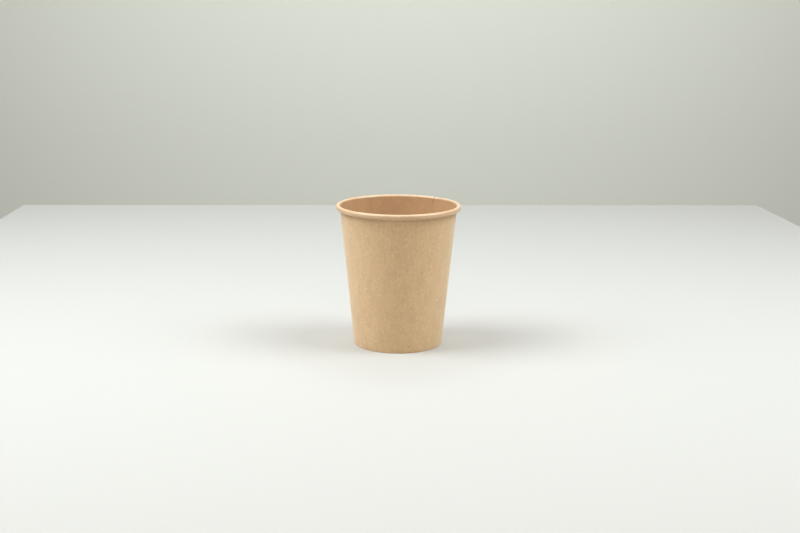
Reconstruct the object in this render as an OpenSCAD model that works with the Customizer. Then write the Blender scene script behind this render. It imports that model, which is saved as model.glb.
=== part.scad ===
// Paper cup made from two blanks: a lapped and rolled sidewall, and a recessed base.
// Millimetres, +Z up. The origin is the centre of the foot, on the surface the cup stands on.

/* [Cup] */
// Outside diameter over the rolled rim
rim_d = 80; // [70:0.5:95]
// Height from the table to the top of the rim
cup_h = 91; // [60:0.5:140]
// Outside diameter of the wall at the foot
foot_d = 57; // [45:0.5:64]

/* [Sidewall sheet] */
// Thickness of the sidewall paperboard
wall_t = 0.36; // [0.25:0.01:0.5]
// Diameter of the roll at the top of the rim
roll_d = 2.75; // [2:0.05:4]
// Straight outer side of the rim between its upper and lower turns
rim_side = 0.6; // [0.3:0.05:2]
// Length of sheet that runs back up inside the rim
tuck = 0.6; // [0.2:0.05:0.9]
// Open slit between the tucked edge and the wall
tuck_gap = 0.08; // [0.05:0.01:0.2]

/* [Side seam] */
// Width of the overlap that is sealed, measured at the rim
lap_w = 7; // [4:0.5:12]
// Bearing of the inner cut edge, turned from +X towards +Y
seam_at = 52; // [0:1:359]
// Share of a thickness that the sealed plies are pressed into each other
lap_press = 0.08; // [0.02:0.01:0.2]

/* [Base] */
// Thickness of the base paperboard
base_t = 0.3; // [0.22:0.01:0.45]
// Height of the underside of the base above the table
base_z = 7; // [4:0.25:12]
// Inside radius where the base turns down into its skirt
bend_r = 0.5; // [0.3:0.05:1]
// Distance from the top of the hem to the start of that bend
hem_gap = 0.7; // [0.3:0.05:2]
// Thickness of the sealing line on each face of the skirt
seal_gap = 0.02; // [0.01:0.01:0.06]

/* [Hidden] */
$fn = 180;
kraft_outside = [0.78, 0.64, 0.49];
kraft_inside = [0.69, 0.54, 0.38];

foot_r = foot_d / 2;
rim_r = rim_d / 2;

// Upper turn of the rim, and the slope of the wall that runs into it as a tangent
roll_r = roll_d / 2;
roll_c = [rim_r - roll_r, cup_h - roll_r];
roll_reach = roll_c - [foot_r, 0];
slope = acos((roll_r - wall_t) / norm(roll_reach)) - atan2(roll_reach[1], roll_reach[0]);

// Depths of the plies at the foot, counted inwards from the outer face of the wall
skirt_out = wall_t + seal_gap;
skirt_in = skirt_out + base_t;
hem_out = skirt_in + seal_gap;
hem_in = hem_out + wall_t;

// Centres of the two creases at the foot, and the flat between them that the cup stands on
outer_crease = at_z(wall_t, wall_t);
inner_crease = at_z(wall_t, hem_out);
flat = outer_crease[0] - inner_crease[0];

// Straight lengths of the wall and of the hem, from their creases
wall_len = (roll_c - outer_crease) * [sin(slope), cos(slope)];
hem_top = base_z - bend_r - hem_gap;
hem_len = (hem_top - wall_t) / cos(slope);

// Lower turn of the rim, clear of the wall by the open slit and kept to whole microns
turn_z = cup_h - roll_r - rim_side;
turn_room = (rim_r - foot_r) * cos(slope) - turn_z * sin(slope) - tuck_gap;
turn_r = floor(turn_room / (1 + cos(slope)) * 1000) / 1000;

// Side seam: the sheet steps out in two equal turns about shifted centres, to pass over its own cut edge.
// Each turn is the sharp angle of a 7-24-25 triangle and the shift is in whole tenths,
// so that the turns meet exactly.
step_cos = 24 / 25;
step_sin = 7 / 25;
at_seam = [1, 0];
mid_step = [step_cos, -step_sin];
step_start = [step_cos ^ 2 - step_sin ^ 2, -2 * step_cos * step_sin];
step_gain = 2 * (1 - step_cos);
shift = round(wall_t / cos(slope) * (1 - lap_press) / step_gain * 10) / 10;
step_out = shift * step_gain;
lap_angle = lap_w / rim_r * 180 / PI;
reach = 1000;

// The point of the section at a given height and a given depth into the cup from the wall's outer face
function at_z(z, depth) = [foot_r + z * tan(slope) - depth / cos(slope), z];

// Half-plane on the left of the local Y axis, large enough for any bend of the sheet
module left_half(size) {
    translate([-size, -size]) square([size, 2 * size]);
}

// Sheet that runs straight on: its outer face lies on the local Y axis, with the board on the left
module run(len, t) {
    translate([-t, 0]) square([t, len]);
    translate([0, len]) children();
}

// Sheet that bends to the left, towards its inner face, about a centre beyond that face
module bend_left(r_in, angle, t) {
    r_out = r_in + t;
    translate([-r_out, 0]) {
        intersection() {
            difference() {
                circle(r_out);
                if (r_in > 0) circle(r_in);
            }
            rotate(-90) left_half(2 * r_out);
            rotate(angle + 90) left_half(2 * r_out);
        }
        rotate(angle) translate([r_out, 0]) children();
    }
}

// Sheet that bends to the right, towards its outer face, about a centre beyond that face
module bend_right(r_in, angle, t) {
    r_out = r_in + t;
    translate([r_in, 0]) {
        intersection() {
            difference() {
                circle(r_out);
                circle(r_in);
            }
            rotate(-90) left_half(2 * r_out);
            rotate(90 - angle) left_half(2 * r_out);
        }
        rotate(-angle) translate([-r_in, 0]) children();
    }
}

// Section of the wall with the flat of the foot and the outer crease, and what follows at its top
module wall_leg() {
    translate([inner_crease[0], 0]) rotate(-90)
        run(flat, wall_t)
            bend_left(0, 90 - slope, wall_t)
                run(wall_len, wall_t)
                    children();
}

// Section of the rolled rim: upper turn, straight side, lower turn and tucked edge
module rim_roll() {
    bend_right(roll_r - wall_t, 180 - slope, wall_t)
        run(rim_side, wall_t)
            bend_right(turn_r - wall_t, 90, wall_t)
                bend_right(turn_r - wall_t, 90 + slope, wall_t)
                    run(tuck, wall_t);
}

// Section of the hem that stands up inside the base's skirt, with the flat of the foot and the inner crease
module hem_leg() {
    translate([outer_crease[0], 0]) mirror([1, 0]) rotate(-90)
        run(flat, wall_t)
            bend_left(0, 90 + slope, wall_t)
                run(hem_len, wall_t);
}

// Upright wedge between two directions from the Z axis
module wedge(from, to) {
    linear_extrude(reach, center = true) polygon([[0, 0], reach * from, reach * to]);
}

// One turn of the step: a section turned about a shifted centre, between two directions
module step_turn(centre, grow, from, to) {
    translate(centre) intersection() {
        rotate_extrude() translate([grow, 0]) children();
        wedge(from, to);
    }
}

// Sidewall: the wrapped sheet with its step, lap, rim roll and hem
module sidewall() {
    color(kraft_outside) rotate(seam_at) {
        rotate_extrude() hem_leg();
        difference() {
            rotate_extrude() wall_leg() rim_roll();
            wedge(step_start, at_seam);
        }
        step_turn(-shift * step_start, shift, step_start, mid_step) wall_leg() rim_roll();
        step_turn(shift * at_seam, -shift, mid_step, at_seam) translate([step_out, 0]) wall_leg() rim_roll();
        rotate_extrude(angle = lap_angle) translate([step_out, 0]) wall_leg();
    }
}

// Base: a flat floor turned down at its edge into the skirt that the hem grips
module base_disc() {
    skirt_foot = at_z(wall_t + seal_gap, skirt_out);
    bend_c = at_z(base_z - bend_r, skirt_in + bend_r);
    skirt_len = (bend_c - skirt_foot) * [sin(slope), cos(slope)];
    color(kraft_inside) rotate_extrude()
        translate([0, base_z]) rotate(-90)
            run(bend_c[0], base_t)
                bend_right(bend_r, 90 + slope, base_t)
                    run(skirt_len, base_t);
}

sidewall();
base_disc();
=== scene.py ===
"""A plain kraft paper cup: a rolled and lapped sheet and a recessed base, on a pale table in soft light."""
import math

import bmesh
import bpy
import numpy as np
from mathutils import Matrix, Vector


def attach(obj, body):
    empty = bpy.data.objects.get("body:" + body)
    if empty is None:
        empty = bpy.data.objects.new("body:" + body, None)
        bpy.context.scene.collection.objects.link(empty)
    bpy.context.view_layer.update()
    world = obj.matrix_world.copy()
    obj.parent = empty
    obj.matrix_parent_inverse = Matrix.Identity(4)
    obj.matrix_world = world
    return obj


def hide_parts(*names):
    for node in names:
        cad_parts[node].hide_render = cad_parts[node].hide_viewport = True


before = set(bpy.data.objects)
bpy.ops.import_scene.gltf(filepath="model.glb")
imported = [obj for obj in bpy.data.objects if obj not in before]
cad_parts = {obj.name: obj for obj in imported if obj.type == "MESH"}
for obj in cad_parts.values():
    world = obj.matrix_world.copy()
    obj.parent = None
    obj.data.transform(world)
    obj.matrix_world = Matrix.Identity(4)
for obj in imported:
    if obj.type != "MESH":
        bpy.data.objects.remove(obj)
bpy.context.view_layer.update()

# Sizes of the cup in millimetres, the same as in the part's source
MM = 0.001
RIM_D = 80.0
CUP_H = 91.0
FOOT_D = 57.0
WALL_T = 0.36
ROLL_D = 2.75
RIM_SIDE = 0.6
TUCK = 0.6
TUCK_GAP = 0.08
LAP_W = 7.0
SEAM_AT = 52.0
BASE_T = 0.3
BASE_Z = 7.0
BEND_R = 0.5
HEM_GAP = 0.7
SEAL_GAP = 0.02

# Wall slope, from the outer face at the foot to the tangent of the rim's roll
FOOT_R = FOOT_D / 2
RIM_R = RIM_D / 2
ROLL_R = ROLL_D / 2
roll_centre = np.array([RIM_R - ROLL_R, CUP_H - ROLL_R])
roll_reach = roll_centre - [FOOT_R, 0]
SLOPE = (math.acos((ROLL_R - WALL_T) / np.linalg.norm(roll_reach))
         - math.atan2(roll_reach[1], roll_reach[0]))
UP_WALL = np.array([math.sin(SLOPE), math.cos(SLOPE)])
OFF_WALL = np.array([math.cos(SLOPE), -math.sin(SLOPE)])

# Depths of the plies at the foot, counted inwards from the outer face of the wall
SKIRT_OUT = WALL_T + SEAL_GAP
SKIRT_IN = SKIRT_OUT + BASE_T
HEM_OUT = SKIRT_IN + SEAL_GAP
HEM_TOP = BASE_Z - BEND_R - HEM_GAP

# Side seam: the turn in which the lapped end swings out, its stand-off in thicknesses, the height above the
# foot's fold in which it comes free, and how far the start of the sheet is pressed up in that fold
STEP_SPAN = math.radians(16.0)
PLY_STAND_OFF = 0.94
FREE_OVER = 3.0
FOLD_PRESS = 0.03

# Cut edge pressed in on the inside of the seam: its turn, its depth in thicknesses, the share of it that is
# lost towards the rim, how far below the top that begins, and the height in which it happens
PRESS_SPAN = math.radians(3.6)
PRESS_DEPTH = 0.9
PRESS_LOST = 0.75
PRESS_LOST_BELOW = 5.0
PRESS_LOST_OVER = 4.0

# Unevenness of the wall: the count, depth and phase of each wave, the heights between which it grows,
# and the share that the stiff rim takes away
WALL_WAVES = ((2, 0.05, 0.7), (3, 0.03, 2.1), (7, 0.012, 0.4))
LOOSE_FROM = 10.0
LOOSE_OVER = 30.0
RIM_STIFFNESS = 0.7
STIFF_BELOW = 12.0
STIFF_OVER = 10.0

# Pressed ridges of the hem: their count and depth, and the plain margins at its edge and above the foot
RIDGE_COUNT = 60
RIDGE_DEPTH = 0.09
RIDGE_EDGE_MARGIN = 0.8
RIDGE_FOOT_MARGIN = 1.2

# Sharp folds of the foot: the points within this share of a thickness, and the room left inside the fold
FOLD_REACH = 0.51
FOLD_ROOM = 0.02

# Base: its sag in the middle and the level margin round it, and the count, phase and depth of its puckers,
# with the radius where they begin and the length in which they grow
BASE_SAG = 0.22
LEVEL_MARGIN = 1.5
PUCKER_COUNT = 5
PUCKER_PHASE = 0.3
PUCKER_DEPTH = 0.03
PUCKER_FROM = 8
PUCKER_OVER = 14

# Painted highlight on the rolled rim: the lining's paler tint sets in over this length of sheet, and is full
# at this height above the roll's centre
RIM_FADE = 1.2
RIM_HIGHLIGHT_ABOVE = 1.0

# Meshes: the columns of the wall, one a degree and closer at the cut edge, the columns of the base,
# the distance in metres at which points are one, and the angle of a sharp edge
COLUMN = math.radians(1.0)
NEAR_EDGE = np.radians([0.0, 0.15, 0.4, 0.7])
BASE_COLUMNS = 180
WELD_DISTANCE = 1e-8
SHARP_ANGLE = math.radians(50.0)

# Where the patterns lie on the flat board: the two faces of a sheet apart, and the base away from the wall
FACES_APART = 40.0
BASE_BLANK_AT = (90.0, 90.0, 80.0)

# Colours of the fibres and specks in the board, and how strongly they show
PALE_FIBRE = (0.90, 0.71, 0.47, 1)
DARK_FIBRE = (0.42, 0.20, 0.085, 1)
BARK_SPECK = (0.27, 0.12, 0.05, 1)
PALE_STRENGTH = 0.47
DARK_STRENGTH = 0.30
SPECK_STRENGTH = 0.40

# Fibres: the scale of their noise, and for each lie its degrees from the grain, its fineness
# and its length in widths
FIBRE_SCALE = 1.1
PALE_LIES = ((6, 0.85, 4.4), (34, 0.75, 2.7), (-30, 0.9, 3.0))
DARK_LIES = ((-14, 0.8, 2.7), (42, 0.95, 4.2), (-55, 0.85, 2.6))

# Levels of the noise where a fibre begins to show and where it is full
PALE_LEVELS = (0.645, 0.75)
DARK_LEVELS = (0.67, 0.77)

# Bark specks: their spacing as a scale, and their outer and inner reach in cells
SPECK_SCALE = 0.22
SPECK_OUTER = 0.085
SPECK_INNER = 0.05

# Shares of clouds, grain and pulp in the board's tone, which together vary round a half
CLOUD_SHARE = 0.45
GRAIN_SHARE = 0.20
PULP_SHARE = 0.35
MIDDLE_TONE = 0.5

# Roughness of the board and its unevenness, and the shares of pulp and fibres in the relief,
# with its depth in metres
BOARD_ROUGHNESS = 0.80
ROUGHNESS_SPREAD = 0.16
PULP_RELIEF = 0.6
PALE_RELIEF = 0.35
DARK_RELIEF = -0.25
RELIEF_DEPTH = 0.00012

# Fuzz of the bare board and film of the lined face
FUZZ_ROUGHNESS = 0.45
FUZZ_TINT = (1.0, 0.97, 0.86, 1)
FILM_ROUGHNESS = 0.32

# Studio: the gloss of its painted surfaces, and how steep a direction meets the edge of the ceiling's light
# and its full level
STUDIO_GLOSS = 0.2
CEILING_EDGE = 0.15
CEILING_FULL = 0.65


def at_z(z, depth):
    """The point (radius, height) at a height and a depth inwards from the wall's outer face."""
    return np.array([FOOT_R + z * math.tan(SLOPE) - depth / math.cos(SLOPE), z])


def smooth(x):
    """A soft ramp from 0 to 1 as x goes from 0 to 1."""
    x = np.clip(x, 0.0, 1.0)
    return x * x * (3 - 2 * x)


class SheetPath:
    """The middle line of a folded sheet in section: straight runs and bends from a start point and heading.
    Each run or bend ends with the number of mesh rows that it takes."""

    def __init__(self, start, heading):
        self.points = [np.array(start, float)]
        self.headings = [heading]

    def run(self, length, steps):
        """Goes straight on."""
        start, heading = self.points[-1], self.headings[-1]
        ahead = np.array([math.cos(heading), math.sin(heading)])
        for i in range(1, steps + 1):
            self.points.append(start + ahead * length * i / steps)
            self.headings.append(heading)
        return self

    def bend(self, radius, turn, steps):
        """Turns to the left for a positive angle, towards the sheet's inner face."""
        start, heading = self.points[-1], self.headings[-1]
        side = math.copysign(1.0, turn)
        centre = start + side * radius * np.array([-math.sin(heading), math.cos(heading)])
        for i in range(1, steps + 1):
            h = heading + turn * i / steps
            self.points.append(centre - side * radius * np.array([-math.sin(h), math.cos(h)]))
            self.headings.append(h)
        return self

    def lines(self):
        """Points, normals towards the outer face, and the length along the sheet."""
        points = np.array(self.points)
        h = np.array(self.headings)
        normals = np.stack([np.sin(h), -np.cos(h)], 1)
        along = np.concatenate([[0], np.cumsum(np.linalg.norm(np.diff(points, axis=0), axis=1))])
        return points, normals, along


def sidewall_path():
    """From the hem's cut edge down to the foot, up the wall, over the rim's roll and to the tucked edge."""
    mid = WALL_T / 2
    crease_in = at_z(WALL_T, HEM_OUT)
    crease_out = at_z(WALL_T, WALL_T)
    hem_len = (HEM_TOP - WALL_T) / math.cos(SLOPE)
    wall_len = float((roll_centre - crease_out) @ UP_WALL)
    turn_z = CUP_H - ROLL_R - RIM_SIDE
    turn_room = (RIM_R - FOOT_R) * math.cos(SLOPE) - turn_z * math.sin(SLOPE) - TUCK_GAP
    turn_r = turn_room / (1 + math.cos(SLOPE))
    hem_edge = crease_in - mid * OFF_WALL + hem_len * UP_WALL
    path = SheetPath(hem_edge, -math.pi / 2 - SLOPE)
    path.run(hem_len, 8).bend(mid, math.pi / 2 + SLOPE, 7)
    path.run(crease_out[0] - crease_in[0], 2).bend(mid, math.pi / 2 - SLOPE, 7)
    path.run(wall_len - RIM_FADE, 32).run(RIM_FADE, 4).bend(ROLL_R - mid, SLOPE - math.pi, 18)
    path.run(RIM_SIDE, 2).bend(turn_r - mid, -math.pi - SLOPE, 14).run(TUCK, 2)
    return path.lines()


def mesh_piece(name, verts, faces, slots, materials, sheet, rim):
    """A smooth-shaded mesh object in metres from points in millimetres.
    Each point carries its place on the flat sheet and how far it takes the rim's paler tint, a painted
    highlight."""
    mesh = bpy.data.meshes.new(name)
    mesh.from_pydata((np.asarray(verts) * MM).tolist(), [], faces)
    for m in materials:
        mesh.materials.append(m)
    mesh.polygons.foreach_set("material_index", np.asarray(slots, np.int32))
    mesh.polygons.foreach_set("use_smooth", np.ones(len(faces), bool))
    mesh.attributes.new("blank", "FLOAT_VECTOR", "POINT")
    mesh.attributes["blank"].data.foreach_set("vector", np.asarray(sheet, np.float32).ravel())
    mesh.attributes.new("rim", "FLOAT", "POINT")
    mesh.attributes["rim"].data.foreach_set("value", np.asarray(rim, np.float32).ravel())
    welded = bmesh.new()
    welded.from_mesh(mesh)
    bmesh.ops.remove_doubles(welded, verts=welded.verts, dist=WELD_DISTANCE)
    welded.to_mesh(mesh)
    welded.free()
    mesh.set_sharp_from_angle(angle=SHARP_ANGLE)
    obj = bpy.data.objects.new(name, mesh)
    bpy.context.scene.collection.objects.link(obj)
    return obj


def sheet_grid_faces(rows, columns, closed):
    """Quads of a two-sided sheet whose points are numbered side, column, row, with the slot of each quad.
    Slots: 0 first side, 1 second side, 2 cut edge. A closed sheet is a disc with its centre as first row."""
    def at(side, column, row):
        return (side * columns + column % columns) * rows + row

    faces, slots = [], []
    spans = columns if closed else columns - 1
    for c in range(spans):
        for r in range(rows - 1):
            faces.append((at(0, c, r), at(0, c + 1, r), at(0, c + 1, r + 1), at(0, c, r + 1)))
            faces.append((at(1, c, r), at(1, c, r + 1), at(1, c + 1, r + 1), at(1, c + 1, r)))
            slots += [0, 1]
        last = rows - 1
        faces.append((at(0, c, last), at(0, c + 1, last), at(1, c + 1, last), at(1, c, last)))
        slots.append(2)
        if not closed:
            faces.append((at(0, c, 0), at(1, c, 0), at(1, c + 1, 0), at(0, c + 1, 0)))
            slots.append(2)
    if not closed:
        end = columns - 1
        for r in range(rows - 1):
            faces.append((at(0, 0, r), at(0, 0, r + 1), at(1, 0, r + 1), at(1, 0, r)))
            faces.append((at(0, end, r), at(1, end, r), at(1, end, r + 1), at(0, end, r + 1)))
            slots += [2, 2]
    return faces, slots


def in_rows(x, y, z):
    """Grids of coordinates as a list of points."""
    return np.stack([x, y, z], 2).reshape(-1, 3)


def make_sidewall(materials):
    """The one sheet of the wall: wrapped once round with its end lapped over its start."""
    points, normals, along = sidewall_path()
    rows = len(points)
    lap = LAP_W / RIM_R
    turns = np.concatenate([NEAR_EDGE, np.arange(COLUMN, 2 * math.pi + lap + COLUMN / 2, COLUMN)])
    columns = len(turns)
    height = points[:, 1]

    # The lapped end swings off the start by about one thickness, along the sheet's own outer side.
    # Pressed flat at the foot's fold, so that the cup stands level.
    swing = smooth((turns - 2 * math.pi + STEP_SPAN) / STEP_SPAN)
    free = smooth((height - WALL_T) / FREE_OVER)
    lap_out = WALL_T * PLY_STAND_OFF * swing[:, None] * free[None, :]

    # In the fold of the foot the start of the sheet is pressed up by a hair under the lapped end
    under = smooth((lap + STEP_SPAN - turns) / STEP_SPAN)
    lap_out -= FOLD_PRESS * under[:, None] * (1 - free)[None, :]

    # The sealing bar presses the cut edge on the inside of the wall, less so where it goes into the rim
    pressed = PRESS_DEPTH * WALL_T * (1 - smooth(turns / PRESS_SPAN))
    kept = 1 - PRESS_LOST * smooth((height - CUP_H + PRESS_LOST_BELOW) / PRESS_LOST_OVER)
    pressed = pressed[:, None] * kept[None, :]

    # Slight unevenness of the formed wall, none at the foot, where the base holds it, and little at the rim
    loose = smooth((height - LOOSE_FROM) / LOOSE_OVER)
    loose = loose * (1 - RIM_STIFFNESS * smooth((height - CUP_H + STIFF_BELOW) / STIFF_OVER))
    wave = sum(depth * np.sin(count * turns + phase) for count, depth, phase in WALL_WAVES)
    uneven = wave[:, None] * loose[None, :]

    # Pressed ridges of the sealing roller on the visible face of the hem
    hem = (along > RIDGE_EDGE_MARGIN) & (along < HEM_TOP - RIDGE_FOOT_MARGIN)
    hem_band = np.where(hem, 1.0, 0.0)
    ridges = RIDGE_DEPTH * np.cos(RIDGE_COUNT * turns)[:, None] * hem_band[None, :]

    # A little room inside the sharp folds keeps the points of the inner face apart
    folded = np.zeros(rows)
    for crease in (at_z(WALL_T, HEM_OUT), at_z(WALL_T, WALL_T)):
        folded[np.linalg.norm(points - crease, axis=1) < FOLD_REACH * WALL_T] = FOLD_ROOM

    # The outer face carries the ridges. The inner face carries the pressed edge, and follows the ridges
    # where the lapped hem lies over them.
    outer = (np.full(rows, WALL_T / 2), ridges)
    inner = (folded - WALL_T / 2, pressed + ridges * swing[:, None])
    apex = at_z(0, 0)[0] / math.sin(SLOPE)
    bearing = (turns + math.radians(SEAM_AT))[:, None]
    fan = (turns - math.pi)[:, None] * math.sin(SLOPE)
    reach = apex + (along - HEM_TOP)[None, :]
    verts, sheet = [], []
    for side, (half, relief) in enumerate((outer, inner)):
        off = half[None, :] + lap_out + uneven + relief
        radius = points[None, :, 0] + off * normals[None, :, 0]
        z = points[None, :, 1] + off * normals[None, :, 1]
        verts.append(in_rows(radius * np.cos(bearing), radius * np.sin(bearing), z))
        layer = np.full_like(radius, FACES_APART * side)
        sheet.append(in_rows(reach * np.sin(fan), reach * np.cos(fan), layer))
    faces, slots = sheet_grid_faces(rows, columns, closed=False)
    # How far each point takes the lining's paler rim tint, a painted highlight on the roll
    highlight_full_at = along[np.argmax(height > roll_centre[1] + RIM_HIGHLIGHT_ABOVE)]
    rim = np.broadcast_to(smooth((along - highlight_full_at + RIM_FADE) / RIM_FADE), (2, columns, rows))
    return mesh_piece("sidewall_sheet", np.concatenate(verts), faces, slots, materials,
                      np.concatenate(sheet), rim)


def make_base(materials):
    """The base: a floor with a slight dish, turned down at its edge into the skirt that the hem grips.
    Its first side is the upper one, so the path's normals are turned over."""
    mid = BASE_T / 2
    bend_c = at_z(BASE_Z - BEND_R, SKIRT_IN + BEND_R)
    skirt_foot = at_z(WALL_T + SEAL_GAP, SKIRT_OUT)
    skirt_len = float((bend_c - skirt_foot) @ UP_WALL)
    path = SheetPath([0.0, BASE_Z + mid], 0.0)
    path.run(bend_c[0], 26).bend(BEND_R + mid, -math.pi / 2 - SLOPE, 10).run(skirt_len, 6)
    points, normals, along = path.lines()
    normals = -normals
    rows = len(points)
    turns = np.arange(BASE_COLUMNS) * 2 * math.pi / BASE_COLUMNS

    # The drawn board sags a little towards the middle and puckers faintly towards its edge
    flat = smooth((bend_c[0] - LEVEL_MARGIN - points[:, 0]) / bend_c[0])
    sag = -BASE_SAG * flat
    towards_edge = smooth((points[:, 0] - PUCKER_FROM) / PUCKER_OVER) * (flat > 0)
    pucker = PUCKER_DEPTH * np.sin(PUCKER_COUNT * turns + PUCKER_PHASE)[:, None] * towards_edge[None, :]

    bearing = turns[:, None]
    across, down, layer = BASE_BLANK_AT
    verts, sheet = [], []
    for side, half in enumerate((mid, -mid)):
        radius = np.broadcast_to(points[None, :, 0] + half * normals[None, :, 0], (BASE_COLUMNS, rows))
        z = points[None, :, 1] + half * normals[None, :, 1] + sag[None, :] + pucker
        verts.append(in_rows(radius * np.cos(bearing), radius * np.sin(bearing), z))
        blank_x = along[None, :] * np.cos(bearing) + across
        blank_y = along[None, :] * np.sin(bearing) + down
        sheet.append(in_rows(blank_x, blank_y, np.full_like(radius, layer + FACES_APART * side)))
    faces, slots = sheet_grid_faces(rows, BASE_COLUMNS, closed=True)
    return mesh_piece("base_tray", np.concatenate(verts), [f[::-1] for f in faces], slots, materials,
                      np.concatenate(sheet), np.zeros(2 * BASE_COLUMNS * rows))


def place(nodes, kind, at, **values):
    """A shader node at a spot of the graph, with its settings by attribute name."""
    node = nodes.new(kind)
    node.location = at
    for key, value in values.items():
        setattr(node, key, value)
    return node


def set_inputs(node, **values):
    """Sets a node's inputs by name, with _ for each space."""
    for key, value in values.items():
        node.inputs[key.replace("_", " ")].default_value = value


def kraft_group():
    """The look of kraft board on the flat sheet: clouds, grain, fibres and specks.
    Blank is the place on the sheet in millimetres, with the grain along Y."""
    group = bpy.data.node_groups.new("kraft_board", "ShaderNodeTree")
    for name, kind in (("Blank", "NodeSocketVector"), ("Tint", "NodeSocketColor"),
                       ("Clouding", "NodeSocketFloat"), ("Fibre", "NodeSocketFloat"),
                       ("Smoothness", "NodeSocketFloat")):
        group.interface.new_socket(name=name, in_out="INPUT", socket_type=kind)
    for name, kind in (("Color", "NodeSocketColor"), ("Roughness", "NodeSocketFloat"),
                       ("Height", "NodeSocketFloat")):
        group.interface.new_socket(name=name, in_out="OUTPUT", socket_type=kind)
    nodes, link = group.nodes, group.links.new
    inputs = place(nodes, "NodeGroupInput", (-1600, 0))
    outputs = place(nodes, "NodeGroupOutput", (1000, 0))

    def math_node(operation, at, a, b):
        """A sum on two values, each a number or the output of a node."""
        node = place(nodes, "ShaderNodeMath", at, operation=operation)
        for socket, value in zip(node.inputs, (a, b)):
            if isinstance(value, (int, float)):
                socket.default_value = value
            else:
                link(value, socket)
        return node.outputs[0]

    def sheet_noise(at, length, turn, scale, detail, roughness, distortion=0.0):
        """Noise on the sheet, drawn out to so many widths along a direction turned from the grain."""
        mapping = place(nodes, "ShaderNodeMapping", (at[0] - 220, at[1]), vector_type="TEXTURE")
        set_inputs(mapping, Scale=(1, length, 1), Rotation=(0, 0, math.radians(turn)))
        link(inputs.outputs["Blank"], mapping.inputs["Vector"])
        noise = place(nodes, "ShaderNodeTexNoise", at)
        set_inputs(noise, Scale=scale, Detail=detail, Roughness=roughness, Distortion=distortion)
        link(mapping.outputs["Vector"], noise.inputs["Vector"])
        return noise.outputs["Fac"]

    def above(value, low, high, at):
        """1 where value is over high, 0 where it is under low."""
        node = place(nodes, "ShaderNodeMapRange", at, clamp=True)
        set_inputs(node, From_Min=low, From_Max=high)
        link(value, node.inputs["Value"])
        return node.outputs["Result"]

    def flecks(at, lies, low, high):
        """Short fibres: the peaks of noises drawn out in a few directions."""
        mask = None
        for i, (turn, fineness, length) in enumerate(lies):
            spot = (at[0], at[1] - 250 * i)
            noise = sheet_noise(spot, length, turn, scale=FIBRE_SCALE * fineness, detail=1.0,
                                roughness=0.4, distortion=0.3)
            one = above(noise, low, high, (spot[0] + 300, spot[1]))
            mask = one if mask is None else math_node("MAXIMUM", (spot[0] + 480, spot[1]), mask, one)
        return mask

    clouds = sheet_noise((-1100, 700), length=1.67, turn=0, scale=0.14, detail=3.0, roughness=0.55)
    grain = sheet_noise((-1100, 450), length=8.3, turn=4, scale=0.55, detail=2.0, roughness=0.55)
    pulp = sheet_noise((-1100, 200), length=2.0, turn=15, scale=1.5, detail=3.0, roughness=0.62)

    # Fibres that lie in a few directions, seen as pale and dark flecks
    pale = flecks((-1100, -50), PALE_LIES, *PALE_LEVELS)
    dark = flecks((-1100, -800), DARK_LIES, *DARK_LEVELS)
    cells = place(nodes, "ShaderNodeTexVoronoi", (-1100, -1550), feature="F1")
    set_inputs(cells, Scale=SPECK_SCALE)
    link(inputs.outputs["Blank"], cells.inputs["Vector"])
    nearness = math_node("MULTIPLY", (-900, -1550), cells.outputs["Distance"], -1.0)
    speck = above(nearness, -SPECK_OUTER, -SPECK_INNER, (-700, -1550))

    # Tone of the board round its tint
    tone = math_node("ADD", (-500, 600), math_node("MULTIPLY", (-700, 700), clouds, CLOUD_SHARE),
                     math_node("MULTIPLY", (-700, 500), grain, GRAIN_SHARE))
    tone = math_node("ADD", (-350, 500), tone, math_node("MULTIPLY", (-500, 350), pulp, PULP_SHARE))
    tone = math_node("SUBTRACT", (-200, 500), tone, MIDDLE_TONE)
    tone = math_node("MULTIPLY", (-50, 500), tone, inputs.outputs["Clouding"])
    tone = math_node("ADD", (100, 500), tone, 1.0)
    tinted = place(nodes, "ShaderNodeVectorMath", (250, 300), operation="SCALE")
    link(inputs.outputs["Tint"], tinted.inputs[0])
    link(tone, tinted.inputs["Scale"])

    def over(base, mask, strength, colour, at):
        """A colour laid over the base where a mask and the Fibre input allow."""
        node = place(nodes, "ShaderNodeMix", at, data_type="RGBA")
        amount = math_node("MULTIPLY", (at[0] - 320, at[1] - 160), mask, strength)
        amount = math_node("MULTIPLY", (at[0] - 160, at[1] - 160), amount, inputs.outputs["Fibre"])
        link(amount, node.inputs["Factor"])
        link(base, node.inputs[6])
        node.inputs[7].default_value = colour
        return node.outputs[2]

    colour = over(tinted.outputs[0], pale, PALE_STRENGTH, PALE_FIBRE, (450, 200))
    colour = over(colour, dark, DARK_STRENGTH, DARK_FIBRE, (620, 100))
    colour = over(colour, speck, SPECK_STRENGTH, BARK_SPECK, (790, 0))
    link(colour, outputs.inputs["Color"])

    rough = math_node("MULTIPLY", (450, -200), pulp, ROUGHNESS_SPREAD)
    rough = math_node("ADD", (540, -260), rough, BOARD_ROUGHNESS)
    rough = math_node("SUBTRACT", (620, -200), rough, inputs.outputs["Smoothness"])
    link(rough, outputs.inputs["Roughness"])
    relief = math_node("ADD", (300, -450), math_node("MULTIPLY", (120, -450), pulp, PULP_RELIEF),
                       math_node("MULTIPLY", (120, -600), pale, PALE_RELIEF))
    relief = math_node("ADD", (620, -450), relief, math_node("MULTIPLY", (300, -600), dark, DARK_RELIEF))
    link(relief, outputs.inputs["Height"])
    return group


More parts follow.
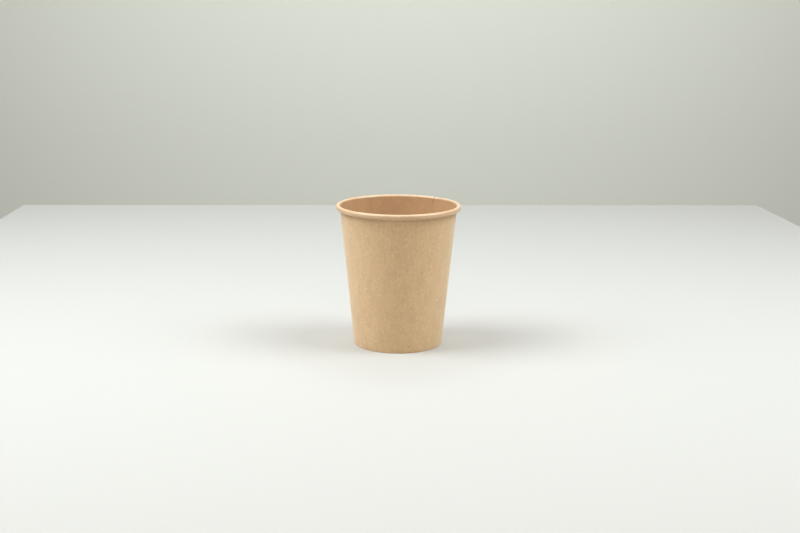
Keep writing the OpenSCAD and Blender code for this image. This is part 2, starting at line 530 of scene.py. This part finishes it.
def kraft_material(name, group, tint, clouding, fibre, smoothness, bump, specular, sheen,
                   coat=0.0, rim_highlight_tint=None):
    """One finish of the board: its tint, how cloudy and fibrous it is, and how smooth.
    A lined face has a film as its coat, and on the rolled rim a paler tint of its own, a painted highlight."""
    material = bpy.data.materials.new(name)
    material.use_nodes = True
    nodes, link = material.node_tree.nodes, material.node_tree.links.new
    shader = nodes["Principled BSDF"]
    shader.inputs["Specular IOR Level"].default_value = specular
    shader.inputs["Sheen Weight"].default_value = sheen
    shader.inputs["Sheen Roughness"].default_value = FUZZ_ROUGHNESS
    shader.inputs["Sheen Tint"].default_value = FUZZ_TINT
    shader.inputs["Coat Weight"].default_value = coat
    shader.inputs["Coat Roughness"].default_value = FILM_ROUGHNESS
    sheet = place(nodes, "ShaderNodeAttribute", (-700, 0), attribute_name="blank")
    board = place(nodes, "ShaderNodeGroup", (-450, 0), node_tree=group)
    set_inputs(board, Tint=(*tint, 1), Clouding=clouding, Fibre=fibre, Smoothness=smoothness)
    link(sheet.outputs["Vector"], board.inputs["Blank"])
    # Painted highlight: on the rolled rim the lining is mixed towards a paler, lit copy of its tint
    if rim_highlight_tint:
        highlight_share = place(nodes, "ShaderNodeAttribute", (-950, -200), attribute_name="rim")
        shade = place(nodes, "ShaderNodeMix", (-700, -200), data_type="RGBA")
        link(highlight_share.outputs["Fac"], shade.inputs["Factor"])
        shade.inputs[6].default_value = (*tint, 1)
        shade.inputs[7].default_value = (*rim_highlight_tint, 1)
        link(shade.outputs[2], board.inputs["Tint"])
    link(board.outputs["Color"], shader.inputs["Base Color"])
    link(board.outputs["Roughness"], shader.inputs["Roughness"])
    relief = place(nodes, "ShaderNodeBump", (-200, -200))
    set_inputs(relief, Strength=bump, Distance=RELIEF_DEPTH)
    link(board.outputs["Height"], relief.inputs["Height"])
    link(relief.outputs["Normal"], shader.inputs["Normal"])
    return material


def plain_material(name, colour, roughness):
    """A plain painted surface of the studio."""
    material = bpy.data.materials.new(name)
    material.use_nodes = True
    shader = material.node_tree.nodes["Principled BSDF"]
    shader.inputs["Base Color"].default_value = (*colour, 1)
    shader.inputs["Roughness"].default_value = roughness
    shader.inputs["Specular IOR Level"].default_value = STUDIO_GLOSS
    return material


def ray_is_seen(nodes, link, at):
    """1 for rays of the view and of what it sees in gloss or glass, 0 for light that falls on things."""
    ray = place(nodes, "ShaderNodeLightPath", at)
    seen = ray.outputs["Is Camera Ray"]
    for i, kind in enumerate(("Is Glossy Ray", "Is Transmission Ray")):
        either = place(nodes, "ShaderNodeMath", (at[0] + 200 + 160 * i, at[1]), operation="MAXIMUM")
        link(seen, either.inputs[0])
        link(ray.outputs[kind], either.inputs[1])
        seen = either.outputs[0]
    return seen


def glow_towards_camera(material, colour, middle, radius):
    """A soft round glow that only the view and its reflections see, and that lights nothing."""
    nodes, link = material.node_tree.nodes, material.node_tree.links.new
    shader = nodes["Principled BSDF"]
    shader.inputs["Emission Color"].default_value = (*colour, 1)
    place_in_room = place(nodes, "ShaderNodeTexCoord", (-1000, -300))
    centred = place(nodes, "ShaderNodeMapping", (-800, -300), vector_type="TEXTURE")
    set_inputs(centred, Location=Vector(middle) * MM, Scale=(radius * MM,) * 3)
    link(place_in_room.outputs["Object"], centred.inputs["Vector"])
    round_glow = place(nodes, "ShaderNodeTexGradient", (-600, -300), gradient_type="SPHERICAL")
    link(centred.outputs["Vector"], round_glow.inputs["Vector"])
    seen = ray_is_seen(nodes, link, (-800, -700))
    strength = place(nodes, "ShaderNodeMath", (-200, -500), operation="MULTIPLY")
    link(round_glow.outputs["Fac"], strength.inputs[0])
    link(seen, strength.inputs[1])
    link(strength.outputs[0], shader.inputs["Emission Strength"])


def studio_plane(name, corners, material):
    """A flat stage piece from its four corners in millimetres."""
    mesh = bpy.data.meshes.new(name)
    mesh.from_pydata((np.array(corners, float) * MM).tolist(), [], [(0, 1, 2, 3)])
    mesh.materials.append(material)
    obj = bpy.data.objects.new(name, mesh)
    bpy.context.scene.collection.objects.link(obj)


def studio_surround(strength, colour, backing):
    """Dim light from a ceiling, and a plain pale backing where the view goes past table and backdrop."""
    surround = bpy.data.worlds.new("studio")
    surround.use_nodes = True
    nodes, link = surround.node_tree.nodes, surround.node_tree.links.new
    ceiling = nodes["Background"]
    ceiling.inputs["Color"].default_value = (*colour, 1)
    direction = place(nodes, "ShaderNodeTexCoord", (-900, 300))
    parts = place(nodes, "ShaderNodeSeparateXYZ", (-700, 300))
    link(direction.outputs["Generated"], parts.inputs["Vector"])
    upwards = place(nodes, "ShaderNodeMapRange", (-500, 300), interpolation_type="SMOOTHSTEP")
    set_inputs(upwards, From_Min=CEILING_EDGE, From_Max=CEILING_FULL, To_Max=strength)
    link(parts.outputs["Z"], upwards.inputs["Value"])
    link(upwards.outputs["Result"], ceiling.inputs["Strength"])
    seen = place(nodes, "ShaderNodeBackground", (-200, 0))
    seen.inputs["Color"].default_value = (*backing, 1)
    either = place(nodes, "ShaderNodeMixShader", (100, 200))
    link(ray_is_seen(nodes, link, (-700, -300)), either.inputs["Fac"])
    link(ceiling.outputs["Background"], either.inputs[1])
    link(seen.outputs["Background"], either.inputs[2])
    link(either.outputs["Shader"], nodes["World Output"].inputs["Surface"])
    bpy.context.scene.world = surround


def soft_light(name, at, aim, size, watts, colour):
    """A large soft area lamp, from a place in millimetres towards another."""
    lamp = bpy.data.lights.new(name, "AREA")
    lamp.shape = "RECTANGLE"
    lamp.size, lamp.size_y = size[0] * MM, size[1] * MM
    lamp.energy = watts
    lamp.color = colour
    obj = bpy.data.objects.new(name, lamp)
    obj.location = Vector(at) * MM
    obj.rotation_euler = (Vector(aim) - Vector(at)).to_track_quat("-Z", "Y").to_euler()
    bpy.context.scene.collection.objects.link(obj)


# The cup's two pieces and their finishes
board = kraft_group()
outside = kraft_material("kraft_outside", board, tint=(0.745, 0.507, 0.286), clouding=0.48, fibre=1.0,
                         smoothness=0.0, bump=0.5, specular=0.40, sheen=0.42)
# The lining's tint is darker than the bare board, partly from its film and partly painted shade of the cup's
# inside; its paler tint on the rolled rim is a painted highlight
lined = kraft_material("kraft_lined_inside", board, tint=(0.535, 0.326, 0.167), clouding=0.5, fibre=0.34,
                       smoothness=0.15, bump=0.25, specular=0.4, sheen=0.0,
                       coat=1.0, rim_highlight_tint=(0.69, 0.455, 0.265))
cut_edge = kraft_material("kraft_cut_edge", board, tint=(0.66, 0.44, 0.245), clouding=0.6, fibre=1.0,
                          smoothness=-0.05, bump=0.8, specular=0.25, sheen=0.1)
base_under = kraft_material("kraft_base_under", board, tint=(0.70, 0.465, 0.26), clouding=0.45, fibre=1.0,
                            smoothness=0.0, bump=0.5, specular=0.35, sheen=0.15)

sidewall = make_sidewall([outside, lined, cut_edge])
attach(sidewall, "root")
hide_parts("sidewall")

base = make_base([lined, base_under, cut_edge])
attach(base, "root")
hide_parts("base_disc")

# Table and backdrop
TABLE_CORNERS = [(-381, -700, 0), (471, -700, 0), (379, 541, 0), (-391.5, 516.5, 0)]
BACK_Y = 1100.0
BACKDROP_CORNERS = [(-2500, BACK_Y, -900), (2500, BACK_Y, -900), (2500, BACK_Y, 1800), (-2500, BACK_Y, 1800)]
table_white = plain_material("table_white", (0.548, 0.54, 0.512), roughness=0.75)
backdrop_grey = plain_material("backdrop_grey", (0.80, 0.81, 0.74), roughness=0.9)
glow_towards_camera(backdrop_grey, (0.335, 0.338, 0.28), middle=(60.0, BACK_Y, 700.0), radius=1900.0)
studio_plane("table", TABLE_CORNERS, table_white)
studio_plane("backdrop", BACKDROP_CORNERS, backdrop_grey)

# Two soft lamps at each side, one in front, one above the far part of the table, and a dim ceiling.
# Each lamp has its place, its aim, its width and height, its watts and its colour.
SIDE_WHITE = (0.95, 1.0, 1.03)
FRONT_WARM = (1.0, 0.93, 0.82)
CUP_MIDDLE = (0, 0, 40)
TABLE_BEHIND = (0, 330, 0)
soft_light("left_softbox", (-640, -140, 640), CUP_MIDDLE, (450, 450), 3.6, SIDE_WHITE)
soft_light("left_high_softbox", (-423, -60, 819), CUP_MIDDLE, (500, 500), 4.3, SIDE_WHITE)
soft_light("right_softbox", (640, -140, 640), CUP_MIDDLE, (450, 450), 2.8, SIDE_WHITE)
soft_light("right_high_softbox", (423, -60, 819), CUP_MIDDLE, (500, 500), 3.5, SIDE_WHITE)
soft_light("front_softbox", (0, -740, 740), CUP_MIDDLE, (700, 200), 1.5, FRONT_WARM)
soft_light("top_softbox", (0, 560, 1050), TABLE_BEHIND, (900, 450), 3.4, SIDE_WHITE)
studio_surround(strength=0.22, colour=(1.0, 0.90, 0.77), backing=(0.50, 0.51, 0.46))

# Camera at the photograph's viewing angle, for an image of 800 by 533
IMAGE_W = 800.0
FOCAL_PX = 1300.0
SENSOR = 36.0
CAMERA_AT = (1.17, -821.1, 231.05)
PITCH = math.radians(12.42)
ROLL = math.radians(0.33)
camera_data = bpy.data.cameras.new("camera")
camera_data.sensor_width = SENSOR
camera_data.lens = FOCAL_PX / IMAGE_W * SENSOR
camera_data.clip_start = 0.01
camera_data.clip_end = 20
camera = bpy.data.objects.new("camera", camera_data)
camera.matrix_world = (Matrix.Translation(Vector(CAMERA_AT) * MM)
                       @ Matrix.Rotation(math.pi / 2 - PITCH, 4, "X") @ Matrix.Rotation(ROLL, 4, "Z"))
bpy.context.scene.collection.objects.link(camera)
bpy.context.scene.camera = camera
bpy.context.scene.view_settings.view_transform = "Standard"
